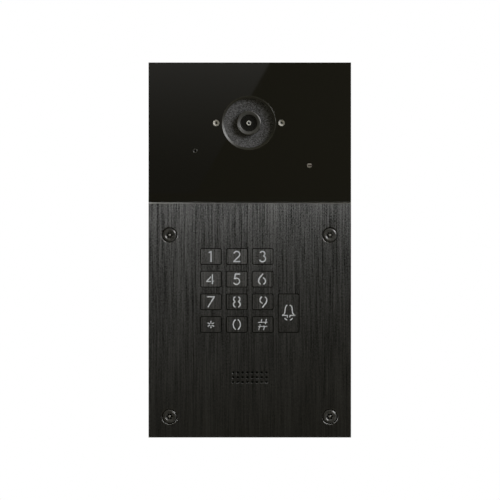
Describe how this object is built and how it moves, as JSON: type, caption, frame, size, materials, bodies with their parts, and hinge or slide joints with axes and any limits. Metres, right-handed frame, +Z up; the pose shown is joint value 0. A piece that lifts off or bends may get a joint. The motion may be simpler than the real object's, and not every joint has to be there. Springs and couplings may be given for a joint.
{
  "type": "door intercom panel",
  "caption": "Flush door intercom panel: black glass with camera, lights and sensors above a brushed plate with a sprung keypad, a call key and a speaker grille, on a moulded wall box.",
  "frame": {"origin": "centre of the wall box's rear face, which is also the centre of its four wall fixing holes", "axes": "+Z up along the front, +Y into the wall, so the front faces -Y, +X to the right seen from the front"},
  "size_m": [0.125, 0.0507, 0.2314],
  "materials": {
    "box_plastic": "fine moulded texture",
    "brass": "turned",
    "rubber": "matte",
    "zinc_steel": "zinc plated",
    "brushed_plate": "black anodised, brushed along Z",
    "brushed_key": "black anodised, brushed along Z",
    "black_glass": "polished, printed black behind",
    "foam_tape": "closed-cell foam",
    "black_screw": "blackened, satin",
    "textured_trim": "coarse spark-eroded texture",
    "satin_black": "satin",
    "lens_black": "satin",
    "lens_glass": "coated",
    "circuit_board": "solder resist",
    "pale_reflector": "semi-gloss",
    "led_resin": "clear dark resin",
    "smoked_window": "smoked",
    "silicone": "translucent grey",
    "acoustic_mesh": "woven mesh",
    "speaker_paper": "pressed paper",
    "ferrite": "ground",
    "component_black": "moulded",
    "terminal_green": "moulded",
    "cable_grey": "flat cable",
    "legend_guide": "diffusing clear"
  },
  "bodies": {
    "panel": {"back_box": "box_plastic", "box_inserts": "brass", "cable_grommet": "rubber", "rim_gasket": "rubber", "chassis": "zinc_steel", "face_plate": "brushed_plate", "glass_panel": "black_glass", "glass_tape": "foam_tape", "face_screws": "black_screw", "camera_trim": "textured_trim", "lens_barrel": "satin_black", "lens_retainer": "lens_black", "lens_glass": "lens_glass", "lens_holder": "satin_black", "camera_board": "circuit_board", "light_reflectors": "pale_reflector", "light_leds": "led_resin", "mic_boot": "rubber", "microphone": "zinc_steel", "light_sensor_window": "smoked_window", "light_sensor": "circuit_board", "keypad_mat": "silicone", "keypad_board": "circuit_board", "grille_mesh": "acoustic_mesh", "speaker_gasket": "foam_tape", "speaker_basket": "zinc_steel", "speaker_cone": "speaker_paper", "speaker_magnet": "ferrite", "main_board": "circuit_board", "board_components": "component_black", "terminal_block": "terminal_green", "internal_cables": "cable_grey", "board_standoffs": "brass", "board_screws": "zinc_steel"},
    "button_1": {"key_1": "brushed_key", "legend_1": "legend_guide"},
    "button_2": {"key_2": "brushed_key", "legend_2": "legend_guide"},
    "button_3": {"key_3": "brushed_key", "legend_3": "legend_guide"},
    "button_4": {"key_4": "brushed_key", "legend_4": "legend_guide"},
    "button_5": {"key_5": "brushed_key", "legend_5": "legend_guide"},
    "button_6": {"key_6": "brushed_key", "legend_6": "legend_guide"},
    "button_7": {"key_7": "brushed_key", "legend_7": "legend_guide"},
    "button_8": {"key_8": "brushed_key", "legend_8": "legend_guide"},
    "button_9": {"key_9": "brushed_key", "legend_9": "legend_guide"},
    "button_star": {"key_star": "brushed_key", "legend_star": "legend_guide"},
    "button_0": {"key_0": "brushed_key", "legend_0": "legend_guide"},
    "button_hash": {"key_hash": "brushed_key", "legend_hash": "legend_guide"},
    "button_call": {"key_call": "brushed_key", "legend_call": "legend_guide"}
  },
  "joints": [
    {"name": "press_1", "type": "slide", "parent": "panel", "child": "button_1", "axis": [0, 1, 0], "range_m": [0, 0.0008], "stiffness_N_per_m": 1200},
    {"name": "press_2", "type": "slide", "parent": "panel", "child": "button_2", "axis": [0, 1, 0], "range_m": [0, 0.0008], "stiffness_N_per_m": 1200},
    {"name": "press_3", "type": "slide", "parent": "panel", "child": "button_3", "axis": [0, 1, 0], "range_m": [0, 0.0008], "stiffness_N_per_m": 1200},
    {"name": "press_4", "type": "slide", "parent": "panel", "child": "button_4", "axis": [0, 1, 0], "range_m": [0, 0.0008], "stiffness_N_per_m": 1200},
    {"name": "press_5", "type": "slide", "parent": "panel", "child": "button_5", "axis": [0, 1, 0], "range_m": [0, 0.0008], "stiffness_N_per_m": 1200},
    {"name": "press_6", "type": "slide", "parent": "panel", "child": "button_6", "axis": [0, 1, 0], "range_m": [0, 0.0008], "stiffness_N_per_m": 1200},
    {"name": "press_7", "type": "slide", "parent": "panel", "child": "button_7", "axis": [0, 1, 0], "range_m": [0, 0.0008], "stiffness_N_per_m": 1200},
    {"name": "press_8", "type": "slide", "parent": "panel", "child": "button_8", "axis": [0, 1, 0], "range_m": [0, 0.0008], "stiffness_N_per_m": 1200},
    {"name": "press_9", "type": "slide", "parent": "panel", "child": "button_9", "axis": [0, 1, 0], "range_m": [0, 0.0008], "stiffness_N_per_m": 1200},
    {"name": "press_star", "type": "slide", "parent": "panel", "child": "button_star", "axis": [0, 1, 0], "range_m": [0, 0.0008], "stiffness_N_per_m": 1200},
    {"name": "press_0", "type": "slide", "parent": "panel", "child": "button_0", "axis": [0, 1, 0], "range_m": [0, 0.0008], "stiffness_N_per_m": 1200},
    {"name": "press_hash", "type": "slide", "parent": "panel", "child": "button_hash", "axis": [0, 1, 0], "range_m": [0, 0.0008], "stiffness_N_per_m": 1200},
    {"name": "press_call", "type": "slide", "parent": "panel", "child": "button_call", "axis": [0, 1, 0], "range_m": [0, 0.0008], "stiffness_N_per_m": 1200}
  ]
}
